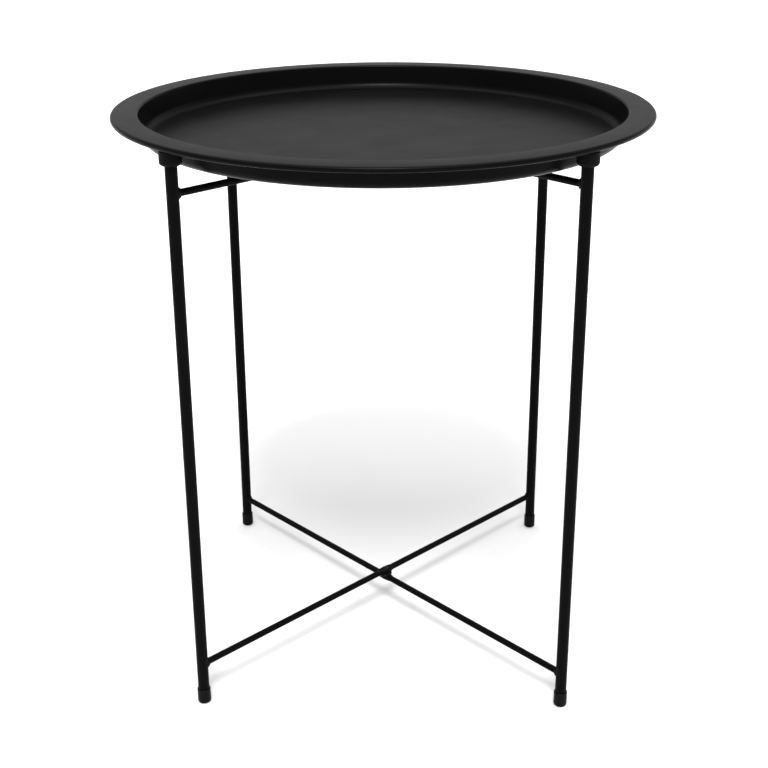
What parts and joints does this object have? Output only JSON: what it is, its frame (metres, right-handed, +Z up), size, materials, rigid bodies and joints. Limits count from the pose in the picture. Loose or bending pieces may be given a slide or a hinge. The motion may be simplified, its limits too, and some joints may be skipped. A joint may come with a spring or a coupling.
{
  "type": "folding tray table",
  "caption": "Round side table: a lift-off dished metal tray with a flat rim and rolled edge, on crossed tube leg frames that fold flat about a riveted vertical pivot.",
  "frame": {"origin": "on the floor under the centre of the tray, at the middle of the box round the open table", "axes": "+Z up along the tray's axis and the fold pivots; -Y is the front; the two leg frames run at 45 degrees either side of Y"},
  "size_m": [0.472, 0.472, 0.51],
  "materials": {
    "tray_coat": "black powder coat, satin, fine grain",
    "frame_coat": "black powder coat, satin, over bare welds",
    "pivot_coat": "black coated rivet and washer, rubbed at the edges",
    "clip_plastic": "moulded black plastic, matte",
    "foot_plastic": "moulded black plastic, scuffed at the tread"
  },
  "bodies": {
    "inner_frame": {"leg_tube_front_left": "frame_coat", "foot_cap_front_left": "foot_plastic", "tray_clip_front_left": "clip_plastic", "leg_tube_back_right": "frame_coat", "foot_cap_back_right": "foot_plastic", "tray_clip_back_right": "clip_plastic", "inner_lower_rod": "frame_coat", "inner_upper_rod": "frame_coat", "inner_frame_welds": "frame_coat", "lower_pivot_rivet": "pivot_coat", "upper_pivot_rivet": "pivot_coat", "lower_pivot_washer": "pivot_coat", "upper_pivot_washer": "pivot_coat"},
    "outer_frame": {"leg_tube_front_right": "frame_coat", "foot_cap_front_right": "foot_plastic", "tray_clip_front_right": "clip_plastic", "leg_tube_back_left": "frame_coat", "foot_cap_back_left": "foot_plastic", "tray_clip_back_left": "clip_plastic", "outer_lower_rod": "frame_coat", "outer_upper_rod": "frame_coat", "outer_frame_welds": "frame_coat"},
    "tray": {"tray_pan": "tray_coat"}
  },
  "joints": [
    {"name": "frame_fold", "type": "hinge", "parent": "inner_frame", "child": "outer_frame", "pos_m": [0, 0, 0.25], "axis": [0, 0, 1], "range_deg": [-85, 85]},
    {"name": "tray_lift", "type": "slide", "parent": "inner_frame", "child": "tray", "axis": [0, 0, 1], "range_m": [0, 0.06]}
  ]
}
